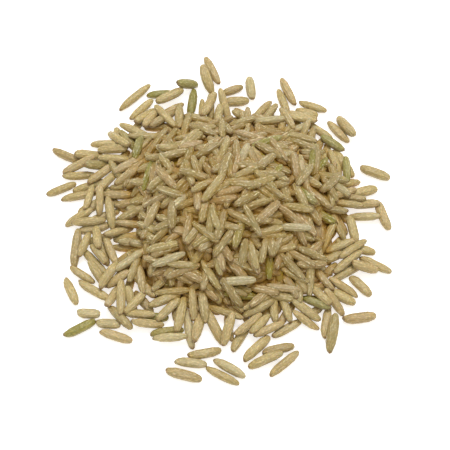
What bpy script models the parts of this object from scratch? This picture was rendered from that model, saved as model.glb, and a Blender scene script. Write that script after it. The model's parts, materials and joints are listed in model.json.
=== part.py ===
"""A loose heap of raw long-grain brown rice on a flat surface, with grains scattered round it.

The grains are laid one after another, as if dropped: each comes to rest on the ones under it.
The mound is a solid core with the grains that show fused onto it, and grains that touch
nothing are solids of their own. Lengths in the tables and the layout are millimetres, and the
meshes are in metres. +Z is up, and -Y is the front.
"""

import math
from collections import namedtuple

import bmesh
import bpy
import numpy as np
from mathutils import Vector
from mathutils.bvhtree import BVHTree

MM = 0.001

# The grain: a raw long-grain kernel, a little wider than it is thick
GRAIN_LENGTH = 7.0
GRAIN_WIDTH = 2.03
GRAIN_THICKNESS = 1.72
LENGTH_SPREAD = 0.09
GIRTH_SPREAD = 0.07
TAPER_POWER = 3.0
TAPER_ROUND = 0.5

# The mound: its middle, the radius of its foot, its height and its uneven outline
MOUND_MIDDLE = (2.6, -1.4)
MOUND_RADIUS = 27.0
MOUND_HEIGHT = 12.6
MOUND_LOBES = ((3, 0.03, 20.0), (4, 0.045, 45.0), (5, 0.025, 80.0), (7, 0.02, 10.0))
FLANK_POWER = 1.55
FLANK_ROUND = 1.15
CORE_DEPTH = 3.4

# Kinds of grain, with the share of each in the heap
STRAW, GREEN, CHALKY, RUDDY = range(4)
KIND_SHARES = (0.84, 0.05, 0.06, 0.05)

# Grains placed one by one round the edge: x, y, heading in degrees, length and kind
BACK_GRAINS = (
    (-18.8, 27.4, 45, 9.6, STRAW), (-17.2, 24.2, 47, 7.2, STRAW), (-13.1, 28.2, 5, 6.4, GREEN),
    (-11.1, 27.1, 26, 6.9, STRAW), (-7.2, 30.1, 22, 6.0, GREEN), (-6.2, 25.8, 83, 7.6, GREEN),
    (-1.8, 34.4, 113, 8.0, STRAW), (-2.8, 31.7, 110, 7.2, STRAW), (2.7, 29.2, 22, 5.3, RUDDY),
    (3.5, 26.2, 4, 6.0, STRAW), (1.1, 24.4, 106, 8.6, STRAW), (6.8, 29.7, 96, 6.1, CHALKY),
    (15.0, 28.8, 112, 7.8, STRAW), (13.9, 25.9, 107, 7.6, STRAW), (20.4, 24.9, -20, 6.6, STRAW),
    (19.0, 23.2, -15, 5.2, STRAW), (25.8, 18.4, -51, 7.0, STRAW), (27.4, 19.3, -56, 6.6, STRAW),
)
LEFT_GRAINS = (
    (-32.9, 12.4, -25, 7.4, GREEN), (-28.2, 12.2, 2, 6.5, STRAW), (-30.3, 9.8, 21, 8.0, CHALKY),
    (-30.1, 7.4, 4, 7.3, STRAW), (-26.2, 9.5, 15, 6.5, GREEN), (-33.7, 4.1, 25, 6.9, STRAW),
    (-29.8, 2.5, 12, 8.0, STRAW), (-27.6, 4.9, 19, 8.0, STRAW), (-27.0, 0.1, 31, 7.0, STRAW),
    (-29.6, -3.0, 27, 6.9, STRAW), (-26.3, -5.4, 14, 6.7, CHALKY), (-29.9, -10.2, 85, 9.0, RUDDY),
    (-24.8, -7.6, 18, 7.5, STRAW), (-28.3, -16.2, -33, 6.4, STRAW), (-25.8, -13.3, -49, 8.6, STRAW),
    (-25.6, -19.8, -31, 8.2, STRAW), (-30.5, -20.0, -65, 6.7, STRAW), (-26.6, -24.9, -3, 4.9, CHALKY),
    (-28.2, -28.2, 29, 7.2, GREEN), (-22.5, -27.3, -3, 5.1, CHALKY), (-20.8, -29.9, -19, 7.1, CHALKY),
    (-20.0, -26.2, -47, 7.2, GREEN), (-21.7, -21.4, 68, 7.0, CHALKY), (-15.5, -22.4, -51, 6.3, RUDDY),
    (-13.3, -25.7, -4, 6.1, GREEN), (-14.5, -27.5, -1, 6.9, STRAW), (-10.6, -29.0, 8, 7.0, GREEN),
    (-9.0, -23.5, 90, 6.7, STRAW),
)
FRONT_GRAINS = (
    (-6.1, -28.3, 98, 9.2, CHALKY), (-4.2, -27.7, 77, 9.0, STRAW), (-0.9, -28.2, -63, 8.4, STRAW),
    (2.0, -27.8, 97, 6.7, STRAW), (4.3, -30.1, 60, 7.4, STRAW), (-3.0, -33.6, 11, 7.0, STRAW),
    (-5.7, -35.7, -8, 6.7, CHALKY), (-7.1, -38.4, -15, 7.7, RUDDY), (0.6, -38.5, -28, 7.7, STRAW),
    (2.0, -36.9, -31, 7.5, CHALKY), (7.4, -32.6, 44, 7.6, STRAW), (11.8, -32.8, 13, 6.8, RUDDY),
    (9.2, -35.3, 21, 7.7, STRAW), (12.9, -35.8, 41, 8.0, STRAW), (13.6, -28.3, 31, 7.1, STRAW),
    (7.0, -25.3, 96, 8.1, RUDDY),
)
RIGHT_GRAINS = (
    (21.6, -26.9, 80, 7.2, STRAW), (22.6, -29.6, 78, 8.5, GREEN), (28.4, -25.9, 8, 7.0, RUDDY),
    (25.0, -21.2, -30, 6.4, STRAW), (28.9, -18.8, -47, 6.1, STRAW), (26.3, -15.6, 30, 8.1, STRAW),
    (32.3, -13.8, -29, 7.4, STRAW), (29.9, -14.9, -11, 5.9, STRAW), (29.1, -10.3, -14, 6.9, STRAW),
    (34.5, -2.3, -73, 7.3, STRAW), (30.7, 0.2, -4, 6.6, STRAW), (30.5, -2.7, -4, 6.8, CHALKY),
    (30.7, 3.3, 16, 6.0, STRAW), (33.2, 8.0, -23, 7.0, STRAW), (26.5, 10.3, -59, 8.0, STRAW),
)

# Grains laid at random: a skirt that covers the mound's foot, then the mound itself
SEED = 41
SKIRT_GRAINS = 170
SKIRT_INNER = 21.0
SKIRT_OUTER = 27.5
SKIRT_LOBES = ((1, 0.11, 205.0), (2, 0.03, 22.0), (4, 0.058, 45.0))
SKIRT_LOOKS = 12
MOUND_SPREAD = 1.1
MOUND_LOOKS = 80
MOST_MOUND_GRAINS = 900

# The ground, a square field of cells, and where a grain feels it, as shares of its half length and width
FIELD_HALF = 46.0
CELL = 0.25
PATCH = 1.2
STATIONS = np.linspace(-0.94, 0.94, 13)
ACROSS = np.array([-0.75, -0.35, 0.0, 0.35, 0.75])

# How a dropped grain rolls and turns, and how much height it gives up to lie level
TRIES = 64
ROLL_AWAY = 2.6
TURN_AWAY = math.radians(35.0)
LEVEL_WORTH = 0.3
SIDE_STEP = 0.8
SIDE_FOLLOW = 0.5
MOST_ROLL = 0.4

# Dropped grains are slimmer, and one that lies higher than NESTLE_FROM works down into the others
FREE_GIRTH = 0.9
NESTLE = 1.0
NESTLE_FROM = 1.9

# The faceted grain of the solids, and the least share of its back that shows on one of them
GRAIN_SIDES = 5
RING_STATIONS = (-0.6, 0.6)
FACET_SWELL = 1.12
LEAST_SHOWING = 0.50

# How far a faceted grain is let down, on the floor and on other grains, to fuse with them
SINK = 0.28
SINK_RAISED = 0.2
ON_THE_FLOOR = 0.15

# Gaps up to NEAR are closed, or up to FAR under a grain that hangs, with a bite into the other
NEAR = 0.35
FAR = 2.5
BITE = 0.12
SETTLE_ROUNDS = 12
TINY = 1e-6

# The core under the top grains
BED_DEPTH = 0.8
BED_REACH = 0.86
BED_SIDES = 20
BED_RINGS = 5
BELOW_FLOOR = 1.0

# The middle of the whole spread, which is the origin of the part
ORIGIN = (-0.20, -0.97)

# Names of the kinds' materials, and their colours as linear red, green and blue
KIND_NAMES = ("straw_rice", "green_rice", "chalky_rice", "ruddy_rice")
KIND_COLOURS = ((0.42, 0.31, 0.15), (0.34, 0.32, 0.12), (0.58, 0.50, 0.32), (0.33, 0.21, 0.09))
ROUGHNESS = 0.42

Grain = namedtuple("Grain", "x y z heading pitch roll length girth kind")


def taper(t):
    """Share of the full girth at t along the grain, from -1 at one tip to 1 at the other."""
    return np.clip(1.0 - np.abs(t) ** TAPER_POWER, 0.0, 1.0) ** TAPER_ROUND


def lobed(radius, lobes, bearing):
    """A radius that swells and shrinks round the circle, by (count, share, turn) for each wave."""
    waves = [share * np.cos(count * (bearing - math.radians(turn))) for count, share, turn in lobes]
    return radius * (1 + sum(waves))


def mound_height(x, y):
    """Height of the full mound over each point: a rounded cone whose foot follows the lobes."""
    dx, dy = x - MOUND_MIDDLE[0], y - MOUND_MIDDLE[1]
    foot = lobed(MOUND_RADIUS, MOUND_LOBES, np.arctan2(dy, dx))
    share = np.clip(np.hypot(dx, dy) / foot, 0, 1)
    return MOUND_HEIGHT * (1 - share ** FLANK_POWER) ** FLANK_ROUND


class Ground:
    """The grains laid so far, the height that they make over each cell, and which one is on top."""

    def __init__(self):
        self.grains = []
        self.axis = np.arange(-FIELD_HALF, FIELD_HALF, CELL)
        gx, gy = np.meshgrid(self.axis, self.axis)
        self.height = np.maximum(mound_height(gx, gy) - CORE_DEPTH, 0)
        self.owner = np.full(self.height.shape, -1)

    def cell(self, place):
        """Number of the cell at each place along one axis."""
        last = self.axis.size - 1
        return np.clip(np.rint((place + FIELD_HALF) / CELL).astype(int), 0, last)

    def at(self, x, y):
        """Height at each point."""
        return self.height[self.cell(y), self.cell(x)]

    def around(self, x, y):
        """Mean height over a small patch round each point."""
        steps = np.array([-PATCH, 0.0, PATCH])
        dx, dy = np.meshgrid(steps, steps)
        return self.at(x[:, None] + dx.ravel(), y[:, None] + dy.ravel()).mean(axis=1)

    def lay(self, grain):
        """Adds a grain that has come to rest and raises the ground to its top."""
        half = grain.length / 2 * math.cos(grain.pitch)
        width, thick = GRAIN_WIDTH * grain.girth, GRAIN_THICKNESS * grain.girth
        reach = (half + width / 2) * np.array([-1, 1])
        columns = slice(*self.cell(grain.x + reach))
        rows = slice(*self.cell(grain.y + reach))
        dx, dy = np.meshgrid(self.axis[columns] - grain.x, self.axis[rows] - grain.y)
        along = dx * math.cos(grain.heading) + dy * math.sin(grain.heading)
        aside = dy * math.cos(grain.heading) - dx * math.sin(grain.heading)
        share = taper(np.clip(along / half, -1, 1))
        bulge = np.sqrt(np.clip(share ** 2 - (2 * aside / width) ** 2, 0, 1))
        slopes = along * math.tan(grain.pitch) + aside * math.tan(grain.roll)
        top = grain.z + slopes + thick / 2 * bulge
        higher = (bulge > 0) & (top > self.height[rows, columns])
        self.height[rows, columns][higher] = top[higher]
        self.owner[rows, columns][higher] = len(self.grains)
        self.grains.append(grain)


def rest(ground, x, y, heading, length, girth):
    """Height and slope at which a grain comes to rest at each of these places and headings.

    Its axis takes the line that clears everything under it and passes lowest at its middle.
    """
    width, thick = GRAIN_WIDTH * girth, GRAIN_THICKNESS * girth
    share = taper(STATIONS)
    lift = thick / 2 * share[:, None] * np.sqrt(1 - ACROSS ** 2)
    aside = width / 2 * share[:, None] * ACROSS
    cosine, sine = np.cos(heading)[:, None, None], np.sin(heading)[:, None, None]
    behind, ahead = STATIONS < 0, STATIONS > 0
    slope = np.zeros(x.size)
    for _ in range(2):
        along = length / 2 * STATIONS * np.cos(np.arctan(slope))[:, None]
        px = x[:, None, None] + along[:, :, None] * cosine - aside * sine
        py = y[:, None, None] + along[:, :, None] * sine + aside * cosine
        need = (ground.at(px, py) + lift).max(axis=2)
        back, front = -along[:, behind, None], along[:, None, ahead]
        spans = (need[:, behind, None] * front + need[:, None, ahead] * back) / (back + front)
        z = np.maximum(spans.max(axis=(1, 2)), need[:, STATIONS.size // 2])
        least = ((need[:, ahead] - z[:, None]) / along[:, ahead]).max(axis=1)
        most = ((z[:, None] - need[:, behind]) / -along[:, behind]).min(axis=1)
        slope = np.where(np.abs(least) < np.abs(most), least, most)
    return z, slope


def side_slope(ground, x, y, heading, width):
    """How far the ground falls to one side of a grain, as an angle that the grain half follows."""
    aside = SIDE_STEP * width
    left = ground.at(x - aside * math.sin(heading), y + aside * math.cos(heading))
    right = ground.at(x + aside * math.sin(heading), y - aside * math.cos(heading))
    return float(np.clip(SIDE_FOLLOW * math.atan2(left - right, 2 * aside), -MOST_ROLL, MOST_ROLL))


def drop(ground, rng, x, y, heading, length, kind, free):
    """Lays one grain. A free one rolls and turns into the lowest place near where it lands."""
    girth = 1 + GIRTH_SPREAD * np.clip(rng.standard_normal(), -2, 2)
    girth = girth * FREE_GIRTH if free else girth
    tries = TRIES if free else 1
    distance = ROLL_AWAY * np.sqrt(rng.random(tries)) * free
    bearing = rng.uniform(0, 2 * math.pi, tries)
    headings = heading + rng.uniform(-TURN_AWAY, TURN_AWAY, tries) * free
    xs, ys = x + distance * np.cos(bearing), y + distance * np.sin(bearing)
    z, slope = rest(ground, xs, ys, headings, length, girth)
    best = int(np.argmin(z + LEVEL_WORTH * np.abs(slope)))
    roll = side_slope(ground, xs[best], ys[best], headings[best], GRAIN_WIDTH * girth)
    pitch = math.atan(slope[best])
    sunk = z[best] - NESTLE * free * min(max(z[best] / NESTLE_FROM - 1, 0), 1)
    ground.lay(Grain(xs[best], ys[best], sunk, headings[best], pitch, roll, length, girth, kind))


def drop_random(ground, rng, x, y):
    """Lays a free grain of random length, heading and kind."""
    length = GRAIN_LENGTH * (1 + LENGTH_SPREAD * rng.standard_normal())
    heading = rng.uniform(0, math.pi)
    kind = int(rng.choice(len(KIND_SHARES), p=KIND_SHARES))
    drop(ground, rng, x, y, heading, length, kind, free=True)


def skirt_place(ground, rng):
    """The barest of a few places in the ring round the mound's foot."""
    bearing = rng.uniform(0, 2 * math.pi, SKIRT_LOOKS)
    out = rng.uniform(SKIRT_INNER, lobed(SKIRT_OUTER, SKIRT_LOBES, bearing))
    x, y = MOUND_MIDDLE[0] + out * np.cos(bearing), MOUND_MIDDLE[1] + out * np.sin(bearing)
    barest = int(np.argmin(ground.around(x, y)))
    return x[barest], y[barest]


def mound_place(ground, rng):
    """The place furthest below the full mound among many, and how far below it is."""
    bearing = rng.uniform(0, 2 * math.pi, MOUND_LOOKS)
    out = MOUND_SPREAD * MOUND_RADIUS * np.sqrt(rng.random(MOUND_LOOKS))
    x, y = MOUND_MIDDLE[0] + out * np.cos(bearing), MOUND_MIDDLE[1] + out * np.sin(bearing)
    missing = mound_height(x, y) - ground.around(x, y)
    lowest = int(np.argmax(missing))
    return x[lowest], y[lowest], missing[lowest]


def lay_out():
    """The ground with all the grains: those placed by hand, then the skirt, then the mound."""
    rng = np.random.default_rng(SEED)
    ground = Ground()
    for x, y, heading, length, kind in BACK_GRAINS + LEFT_GRAINS + FRONT_GRAINS + RIGHT_GRAINS:
        drop(ground, rng, x, y, math.radians(heading), length, kind, free=False)
    for _ in range(SKIRT_GRAINS):
        drop_random(ground, rng, *skirt_place(ground, rng))
    for _ in range(MOST_MOUND_GRAINS):
        x, y, missing = mound_place(ground, rng)
        if missing < 0:
            break
        drop_random(ground, rng, x, y)
    return ground


def shown_grains(ground):
    """The grains whose backs show enough from above, let down a little to fuse with the rest."""
    top = ground.owner[ground.owner >= 0]
    seen = np.bincount(top, minlength=len(ground.grains)) * CELL ** 2
    chosen = []
    for grain, area in zip(ground.grains, seen):
        back = math.pi / 4 * grain.length * GRAIN_WIDTH * grain.girth
        if area < LEAST_SHOWING * back:
            continue
        raised = grain.z > GRAIN_THICKNESS * grain.girth / 2 + ON_THE_FLOOR
        chosen.append(grain._replace(z=grain.z - (SINK_RAISED if raised else SINK)))
    return chosen


def grain_axes(grain):
    """Unit vectors along a grain, to its left and up through its back."""
    forward = np.array([math.cos(grain.heading) * math.cos(grain.pitch),
                        math.sin(grain.heading) * math.cos(grain.pitch), math.sin(grain.pitch)])
    level = np.array([-math.sin(grain.heading), math.cos(grain.heading), 0.0])
    left = math.cos(grain.roll) * level + math.sin(grain.roll) * np.cross(forward, level)
    return forward, left, np.cross(forward, left)


def tube_faces(sides, rings):
    """Faces of rings of points closed by one point at each end, which come first and last."""
    faces = []
    last = sides * rings + 1
    for i in range(sides):
        j = (i + 1) % sides
        faces.append((0, 1 + j, 1 + i))
        faces.append((last - sides + i, last - sides + j, last))
        for start in range(1, last - sides, sides):
            faces.append((start + i, start + j, start + sides + j, start + sides + i))
    return faces


def faceted_grain(grain):
    """Points and faces of a kernel with few sides: a prism that narrows to a point at each end."""
    forward, left, up = grain_axes(grain)
    turn = math.pi / 2 + 2 * math.pi * np.arange(GRAIN_SIDES) / GRAIN_SIDES
    sideways = GRAIN_WIDTH / 2 * np.cos(turn)[:, None] * left
    across = sideways + GRAIN_THICKNESS / 2 * np.sin(turn)[:, None] * up
    middle = np.array([grain.x, grain.y, grain.z])
    half = grain.length / 2 * forward
    points = [middle - half]
    for t in RING_STATIONS:
        points.extend(middle + t * half + taper(t) * FACET_SWELL * grain.girth * across)
    points.append(middle + half)
    return np.array(points), tube_faces(GRAIN_SIDES, len(RING_STATIONS))


def bed(ground):
    """Points and faces of the solid core, a dome just under the backs of the top grains."""
    bearing = 2 * math.pi * np.arange(BED_SIDES) / BED_SIDES
    foot = BED_REACH * lobed(MOUND_RADIUS, MOUND_LOBES, bearing)
    shares = np.append(np.arange(BED_RINGS + 1), BED_RINGS)[:, None] / BED_RINGS
    x = MOUND_MIDDLE[0] + shares * foot * np.cos(bearing)
    y = MOUND_MIDDLE[1] + shares * foot * np.sin(bearing)
    z = ground.around(x.ravel(), y.ravel()).reshape(x.shape) - BED_DEPTH
    z = np.maximum(z, -BELOW_FLOOR / 2)
    z[-1] = -BELOW_FLOOR
    rings = np.stack([x, y, z], axis=2)
    under = (*MOUND_MIDDLE, -BELOW_FLOOR)
    points = np.vstack([rings[0, :1], rings[1:].reshape(-1, 3), [under]])
    faces = [face[::-1] for face in tube_faces(BED_SIDES, BED_RINGS + 1)]
    return points, faces


def neighbours(solids):
    """Pairs of solids whose boxes come within reach of each other."""
    low = np.array([points.min(axis=0) for points, _ in solids]) - FAR / 2
    high = np.array([points.max(axis=0) for points, _ in solids]) + FAR / 2
    meet = np.all((low[:, None] <= high[None]) & (low[None] <= high[:, None]), axis=2)
    return [(i, j) for i, j in zip(*np.nonzero(meet)) if i < j]


def groups(trees, pairs):
    """A number for each solid, the same for all that touch directly or through others."""
    group = list(range(len(trees)))
    for i, j in pairs:
        if trees[i].overlap(trees[j]):
            old, new = max(group[i], group[j]), min(group[i], group[j])
            group = [new if number == old else number for number in group]
    return group


def nearest(points, tree, reach):
    """The shortest step from any of the points to a surface, as a vector, or None past reach."""
    best = None
    for point in points.tolist():
        place, _, _, distance = tree.find_nearest(point, reach)
        if place is not None and (best is None or distance < best.length):
            best = place - Vector(point)
    return best


def step_between(solids, trees, moved, other, reach):
    """The shortest step that brings one solid against another, or None past reach."""
    step = nearest(solids[moved][0], trees[other], reach)
    back = nearest(solids[other][0], trees[moved], reach)
    if back is not None and (step is None or back.length < step.length):
        return -back
    return step


def pushes(solids, trees, pairs, group):
    """The step that closes the narrowest gap of each group that lies almost against another."""
    lowest = {}
    for number, (points, _) in zip(group, solids):
        lowest[number] = min(points[:, 2].min(), lowest.get(number, FIELD_HALF))
    found = {}
    for i, j in pairs:
        if group[i] == group[j]:
            continue
        moved, other = (j, i) if group[j] > group[i] else (i, j)
        number = group[moved]
        step = step_between(solids, trees, moved, other, FAR if lowest[number] > 0 else NEAR)
        if step is not None and (number not in found or step.length < found[number].length):
            found[number] = step
    return found


def pushed(grain, step):
    """The grain moved by a step and a little further, so that it bites into what it meets."""
    if step is None:
        return grain
    step = step * (1 + BITE / max(step.length, TINY))
    return grain._replace(x=grain.x + step.x, y=grain.y + step.y, z=grain.z + step.z)


def settle(grains, core):
    """Closes narrow gaps, so that each group of solids is either fused or clear of the others.

    The core is solid 0, so group 0 is the mound.
    """
    for _ in range(SETTLE_ROUNDS):
        solids = [core] + [faceted_grain(grain) for grain in grains]
        trees = [BVHTree.FromPolygons(points.tolist(), faces) for points, faces in solids]
        pairs = neighbours(solids)
        group = groups(trees, pairs)
        steps = pushes(solids, trees, pairs, group)
        if not steps:
            break
        grains = [pushed(grain, steps.get(number)) for grain, number in zip(grains, group[1:])]
    return solids, group


def floor_block():
    """Points and faces of a block that fills the space just below the floor."""
    square = FIELD_HALF * np.array([(-1, -1), (1, -1), (1, 1), (-1, 1)])
    bottom = np.column_stack([square, np.full(4, -2 * BELOW_FLOOR)])
    top = np.column_stack([square, np.zeros(4)])
    sides = [(i, (i + 1) % 4, (i + 1) % 4 + 4, i + 4) for i in range(4)]
    return np.vstack([bottom, top]), [(3, 2, 1, 0), (4, 5, 6, 7)] + sides


def new_object(name, solid, collection):
    """An object with these points, turned from layout millimetres to metres round the origin."""
    points, faces = solid
    mesh = bpy.data.meshes.new(name)
    mesh.from_pydata(((points - (*ORIGIN, 0.0)) * MM).tolist(), [], faces)
    made = bpy.data.objects.new(name, mesh)
    collection.objects.link(made)
    return made


def apply_boolean(target, operation, collection):
    """Joins or cuts an object with all of a collection's objects, which are then removed."""
    change = target.modifiers.new(operation.lower(), "BOOLEAN")
    change.operation = operation
    change.operand_type = "COLLECTION"
    change.collection = collection
    evaluated = target.evaluated_get(bpy.context.evaluated_depsgraph_get())
    whole = bpy.data.meshes.new_from_object(evaluated)
    target.modifiers.remove(change)
    target.data = whole
    for used in list(collection.objects):
        bpy.data.objects.remove(used)


def keep_main_body(mesh):
    """Drops loose scraps and fills sealed hollows: only the largest closed surface stays."""
    work = bmesh.new()
    work.from_mesh(mesh)
    bodies = []
    left = set(work.verts)
    while left:
        body = {left.pop()}
        edge = list(body)
        while edge:
            reached = {link.other_vert(vert) for vert in edge for link in vert.link_edges} - body
            body |= reached
            edge = list(reached)
        left -= body
        bodies.append(body)
    main_body = max(bodies, key=len)
    scraps = [vert for vert in work.verts if vert not in main_body]
    bmesh.ops.delete(work, geom=scraps, context="VERTS")
    work.to_mesh(mesh)
    work.free()


def fuse(name, solids):
    """One object from solids that touch, with all that is below the floor cut away."""
    scene = bpy.context.scene.collection
    helpers = bpy.data.collections.new("helpers")
    scene.children.link(helpers)
    made = new_object(name, solids[0], scene)
    for solid in solids[1:]:
        new_object("grain", solid, helpers)
    if helpers.objects:
        apply_boolean(made, "UNION", helpers)
    new_object("under_the_floor", floor_block(), helpers)
    apply_boolean(made, "DIFFERENCE", helpers)
    bpy.data.collections.remove(helpers)
    keep_main_body(made.data)
    return made


def kind_material(kind):
    """The plain finish of one kind of grain."""
    material = bpy.data.materials.new(KIND_NAMES[kind])
    material.use_nodes = True
    shader = material.node_tree.nodes["Principled BSDF"]
    shader.inputs["Base Color"].default_value = (*KIND_COLOURS[kind], 1.0)
    shader.inputs["Roughness"].default_value = ROUGHNESS
    shader.inputs["Metallic"].default_value = 0.0
    return material


def main():
    for old in list(bpy.data.objects):
        bpy.data.objects.remove(old)
    ground = lay_out()
    shown = shown_grains(ground)
    solids, group = settle(shown, bed(ground))
    materials = [kind_material(kind) for kind in range(len(KIND_NAMES))]
    for order, number in enumerate(sorted(set(group))):
        members = [k for k, own in enumerate(group) if own == number]
        name = f"stray_{order:02d}" if order else "rice_heap"
        made = fuse(name, [solids[k] for k in members])
        kind = shown[members[0] - 1].kind if order else STRAW
        made.data.materials.clear()
        made.data.materials.append(materials[kind])


main()
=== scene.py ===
# %% [markdown]
# # A heap of brown rice
# A handful of raw long-grain brown rice lies on a white table. Kernels have slid down its sides
# into a thin skirt, and a few have rolled clear of it. The lesson lays every kernel where it
# would come to rest, gives each the shape of a real one, and colours the bran that coats it.
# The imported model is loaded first, because it says where the heap is and how large.

# %% Load the fixed frame
import json
import math
from collections import namedtuple

import bpy
import numpy as np
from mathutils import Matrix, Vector


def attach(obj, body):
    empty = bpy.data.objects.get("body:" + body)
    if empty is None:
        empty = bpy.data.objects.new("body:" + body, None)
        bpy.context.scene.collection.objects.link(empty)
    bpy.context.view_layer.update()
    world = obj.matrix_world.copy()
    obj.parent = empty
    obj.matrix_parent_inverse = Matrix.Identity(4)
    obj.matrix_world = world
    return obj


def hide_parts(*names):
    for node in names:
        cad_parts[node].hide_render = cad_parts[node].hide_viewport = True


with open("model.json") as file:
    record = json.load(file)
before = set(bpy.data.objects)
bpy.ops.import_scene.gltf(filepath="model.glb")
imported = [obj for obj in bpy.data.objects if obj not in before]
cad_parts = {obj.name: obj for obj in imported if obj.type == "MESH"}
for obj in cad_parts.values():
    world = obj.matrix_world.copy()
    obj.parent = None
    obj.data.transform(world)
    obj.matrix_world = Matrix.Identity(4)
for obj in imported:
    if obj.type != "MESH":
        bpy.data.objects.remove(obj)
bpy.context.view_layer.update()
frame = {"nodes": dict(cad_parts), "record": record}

# %% [markdown]
# ## The camera
# The heap is seen from well above and from the front, with a long lens close by. How steeply
# isn't certain: 62 degrees is chosen, but kernels that point to the camera look hardly
# shorter than the others, which speaks for 68 or more. A lens is easier to match as a focal
# length in pixels, so it is turned into millimetres on the sensor here. Lengths are in metres
# from now on, unless a name says mm.

# %% Point the camera
VIEW_ELEVATION = math.radians(62.0)
CAMERA_DISTANCE = 0.297
CAMERA_AIM = Vector((0.00130, -0.00313, 0.0))
FOCAL_PIXELS = 1410.0
IMAGE_PIXELS = 450.0
SENSOR_WIDTH_MM = 36.0
NEAREST_SHARE = 0.05


def look_from(thing, eye, target):
    """Adds a camera or a lamp at eye, with its -Z axis turned towards target."""
    thing.location = eye
    thing.rotation_euler = (target - eye).to_track_quat("-Z", "Y").to_euler()
    bpy.context.scene.collection.objects.link(thing)


lens = bpy.data.cameras.new("camera")
lens.sensor_width = SENSOR_WIDTH_MM
lens.lens = FOCAL_PIXELS * SENSOR_WIDTH_MM / IMAGE_PIXELS
lens.clip_start = CAMERA_DISTANCE * NEAREST_SHARE
camera = bpy.data.objects.new("camera", lens)
back = Vector((0.0, -math.cos(VIEW_ELEVATION), math.sin(VIEW_ELEVATION)))
look_from(camera, CAMERA_AIM + back * CAMERA_DISTANCE, CAMERA_AIM)
bpy.context.scene.camera = camera
print("lens", round(lens.lens, 1), "mm")

# %% [markdown]
# ## The kernel and the mound
# A raw long-grain kernel is about 7 mm long, 2 mm wide and a little thinner. Its sides run
# nearly straight and its ends are blunt. A formula for its girth along its length serves twice:
# it tells how kernels rest on each other, and it later makes their surfaces.
# The mound is a rounded cone whose foot is a circle with a few low waves in it, because a
# poured heap is never quite round.

# %% Sizes of the kernel and the mound
MM = 0.001
GRAIN_LENGTH = 7.0
GRAIN_WIDTH = 2.03
GRAIN_THICKNESS = 1.72
LENGTH_SPREAD = 0.09
GIRTH_SPREAD = 0.07
TAPER_POWER = 3.0
TAPER_ROUND = 0.5
MOUND_MIDDLE = (2.6, -1.4)
MOUND_RADIUS = 27.0
MOUND_HEIGHT = 12.6
MOUND_LOBES = ((3, 0.03, 20.0), (4, 0.045, 45.0), (5, 0.025, 80.0), (7, 0.02, 10.0))
FLANK_POWER = 1.55
FLANK_ROUND = 1.15
CORE_DEPTH = 3.4
ORIGIN = (-0.20, -0.97)


def taper(t):
    """Share of the full girth at t, from -1 at one tip to 1 at the other: (1 - |t|^3)^0.5."""
    return np.clip(1.0 - np.abs(t) ** TAPER_POWER, 0.0, 1.0) ** TAPER_ROUND


def lobed(radius, lobes, bearing):
    """radius times 1 plus a cosine wave for each (count, share, turn), round the circle."""
    waves = [share * np.cos(count * (bearing - math.radians(turn))) for count, share, turn in lobes]
    return radius * (1 + sum(waves))


def mound_height(x, y):
    """Height times (1 - s^1.55)^1.15, where s runs from 0 at the middle to 1 at the lobed foot."""
    dx, dy = x - MOUND_MIDDLE[0], y - MOUND_MIDDLE[1]
    foot = lobed(MOUND_RADIUS, MOUND_LOBES, np.arctan2(dy, dx))
    share = np.clip(np.hypot(dx, dy) / foot, 0, 1)
    return MOUND_HEIGHT * (1 - share ** FLANK_POWER) ** FLANK_ROUND


print("the mound is", MOUND_HEIGHT, "mm high before its kernels are laid")

# %% [markdown]
# ## Kernels laid from a list
# The outline of a heap is what the eye checks first, so the kernels round its edge are placed
# one by one: x, y, heading in degrees, length, all in millimetres, and the kind. Most kernels
# are straw-coloured. A few were harvested green, a few are chalky, and a few are ruddy.

# %% Place the kernels of the edge
STRAW, GREEN, CHALKY, RUDDY = range(4)
KIND_SHARES = (0.84, 0.05, 0.06, 0.05)
BACK_GRAINS = (
    (-18.8, 27.4, 45, 9.6, STRAW), (-17.2, 24.2, 47, 7.2, STRAW), (-13.1, 28.2, 5, 6.4, GREEN),
    (-11.1, 27.1, 26, 6.9, STRAW), (-7.2, 30.1, 22, 6.0, GREEN), (-6.2, 25.8, 83, 7.6, GREEN),
    (-1.8, 34.4, 113, 8.0, STRAW), (-2.8, 31.7, 110, 7.2, STRAW), (2.7, 29.2, 22, 5.3, RUDDY),
    (3.5, 26.2, 4, 6.0, STRAW), (1.1, 24.4, 106, 8.6, STRAW), (6.8, 29.7, 96, 6.1, CHALKY),
    (15.0, 28.8, 112, 7.8, STRAW), (13.9, 25.9, 107, 7.6, STRAW), (20.4, 24.9, -20, 6.6, STRAW),
    (19.0, 23.2, -15, 5.2, STRAW), (25.8, 18.4, -51, 7.0, STRAW), (27.4, 19.3, -56, 6.6, STRAW),
)
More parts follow.
